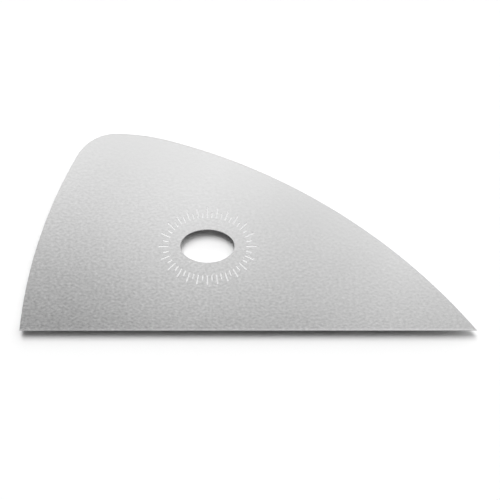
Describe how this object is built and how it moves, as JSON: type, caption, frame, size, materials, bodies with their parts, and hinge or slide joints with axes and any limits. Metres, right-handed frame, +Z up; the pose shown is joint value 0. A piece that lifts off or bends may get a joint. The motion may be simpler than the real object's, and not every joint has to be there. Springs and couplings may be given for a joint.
{
  "type": "pottery rib",
  "caption": "Thin flat steel scraping blade for clay, with one straight edge, a long curved edge, a rounded heel and an oval finger hole.",
  "frame": {"origin": "on the underside, at the middle of the blade's length and of its width", "axes": "+X along the straight edge towards the pointed tip, +Y across the blade from the straight edge towards the crown, +Z up through the sheet's thickness"},
  "size_m": [0.12, 0.0516, 0.0005],
  "materials": {
    "satin_steel": "satin"
  },
  "bodies": {
    "root": {"rib_blade": "satin_steel"}
  },
  "joints": []
}
